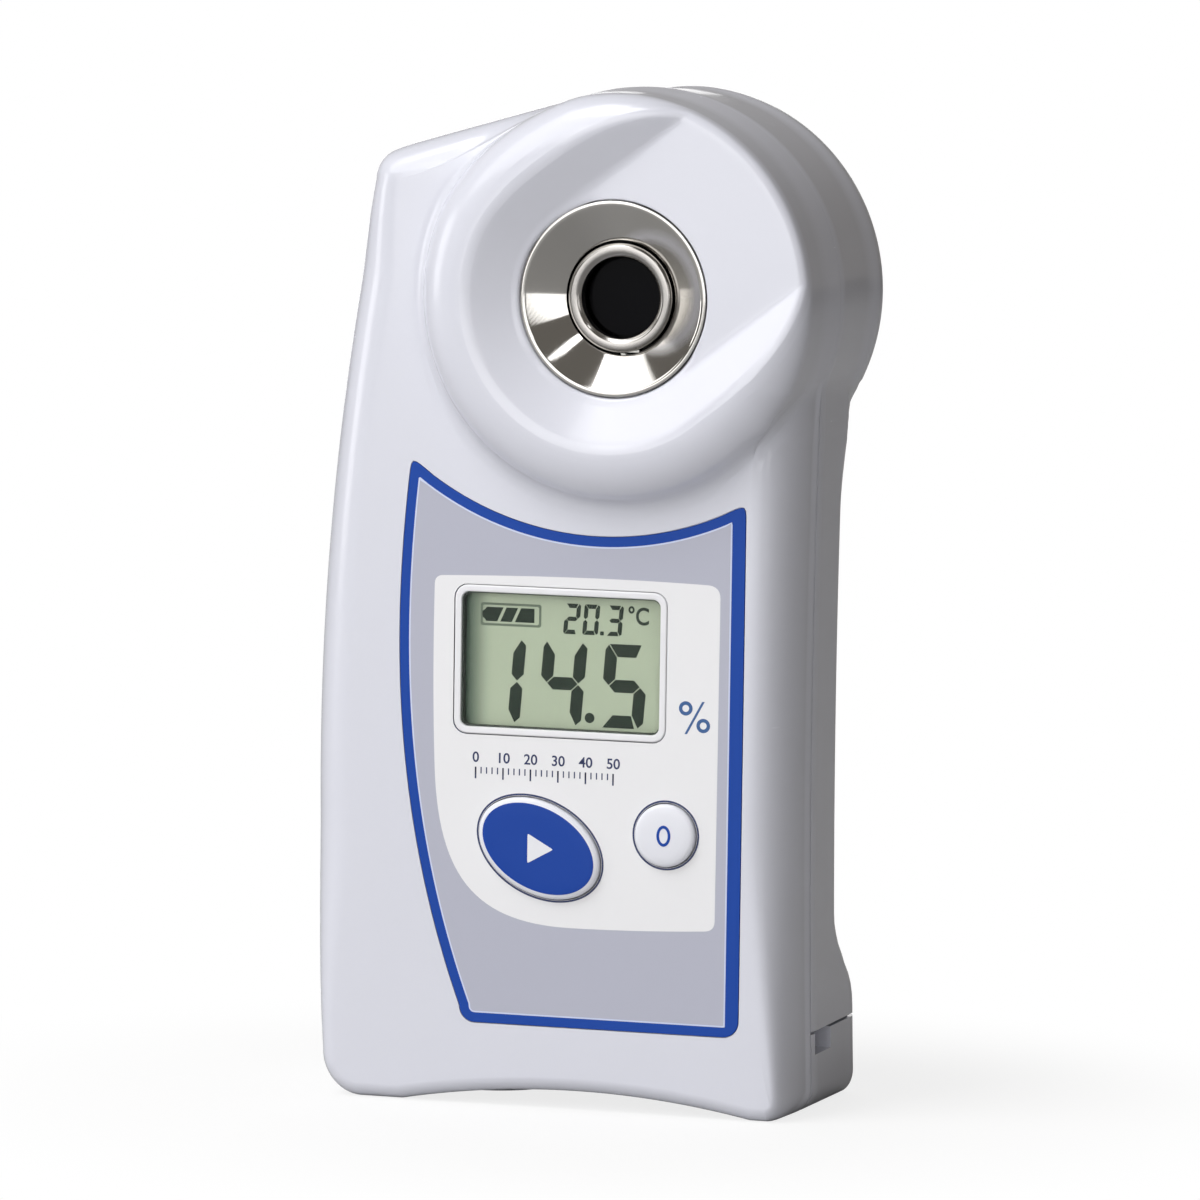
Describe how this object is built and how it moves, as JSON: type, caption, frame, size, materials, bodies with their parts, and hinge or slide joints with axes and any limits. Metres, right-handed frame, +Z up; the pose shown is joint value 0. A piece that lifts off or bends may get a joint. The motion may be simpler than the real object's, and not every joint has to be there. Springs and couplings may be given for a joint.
{
  "type": "digital refractometer",
  "caption": "Pocket digital refractometer with a round measuring head, steel sample well, display, two keys and a battery bay closed by a cap with a lock knob.",
  "frame": {"origin": "under the middle of the bounding box, on the plane of the feet", "axes": "+Z up along the instrument's length, +X to the right of someone who reads the display, +Y to the back"},
  "size_m": [0.057, 0.031, 0.1089],
  "materials": {
    "case_plastic": "glossy moulded plastic, white with a faint lavender tint",
    "key_blue": "satin blue plastic",
    "key_white": "satin white plastic",
    "overlay_print": "printed plastic film, pale grey",
    "clear_window": "clear acrylic",
    "display_glass": "liquid crystal panel, pale grey green",
    "polished_steel": "turned and polished stainless steel",
    "prism_glass": "polished glass over a black housing, so it reads black",
    "black_plastic": "matt black plastic",
    "grey_rubber": "dark grey silicone rubber",
    "board_green": "glass fibre board with green solder mask",
    "chip_black": "black chip package",
    "spring_steel": "plain zinc plated steel",
    "gold_contact": "gold plated contact strip",
    "cell_jacket": "plain grey cell jacket",
    "ribbon_amber": "amber polyimide film",
    "lamp_clear": "clear moulded lamp"
  },
  "bodies": {
    "case": {"front_case": "case_plastic", "rear_case": "case_plastic", "case_gasket": "grey_rubber", "case_screw_lower_left": "spring_steel", "case_screw_lower_right": "spring_steel", "case_screw_upper_right": "spring_steel", "case_screw_upper_left": "spring_steel", "rear_plate": "overlay_print", "stage_ring": "polished_steel", "stage_seal": "grey_rubber", "stage_nut": "black_plastic", "prism_collar": "polished_steel", "prism": "prism_glass", "label_overlay": "overlay_print", "display_frame": "key_white", "display_window": "clear_window", "display_panel": "display_glass", "display_connector_upper": "grey_rubber", "display_connector_lower": "grey_rubber", "start_switch": "black_plastic", "zero_switch": "black_plastic", "main_board": "board_green", "processor_chip": "chip_black", "amplifier_chip": "chip_black", "oscillator": "chip_black", "optics_housing": "black_plastic", "sensor_board": "board_green", "image_sensor": "chip_black", "lamp_board": "board_green", "lamp": "lamp_clear", "focus_lens": "lamp_clear", "temperature_probe": "spring_steel", "optics_screw_lower": "spring_steel", "optics_screw_upper": "spring_steel", "ribbon_socket": "black_plastic", "ribbon_cable": "ribbon_amber", "battery_1": "cell_jacket", "battery_2": "cell_jacket", "battery_tray": "black_plastic", "contact_plate": "gold_contact", "contact_spring": "spring_steel"},
    "start_button": {"start_button": "key_blue"},
    "zero_button": {"zero_button": "key_white"},
    "battery_cap": {"battery_cap": "case_plastic", "cap_gasket": "grey_rubber", "cap_contact_plate": "gold_contact", "cap_contact_spring": "spring_steel"},
    "lock_knob": {"lock_knob": "case_plastic", "lock_cam": "spring_steel", "lock_screw": "spring_steel"}
  },
  "joints": [
    {"name": "start_button_press", "type": "slide", "parent": "case", "child": "start_button", "axis": [0, 1, 0], "range_m": [0, 0.0004], "stiffness_N_per_m": 1500, "springref_m": -0.0004},
    {"name": "zero_button_press", "type": "slide", "parent": "case", "child": "zero_button", "axis": [0, 1, 0], "range_m": [0, 0.0004], "stiffness_N_per_m": 1500, "springref_m": -0.0004},
    {"name": "battery_cap_off", "type": "slide", "parent": "case", "child": "battery_cap", "axis": [0, 0, -1], "range_m": [0, 0.025]},
    {"name": "lock_knob_turn", "type": "hinge", "parent": "battery_cap", "child": "lock_knob", "pos_m": [-0.012, 0.0056, 0.001], "axis": [0, 0, 1], "range_deg": [0, 90]}
  ]
}
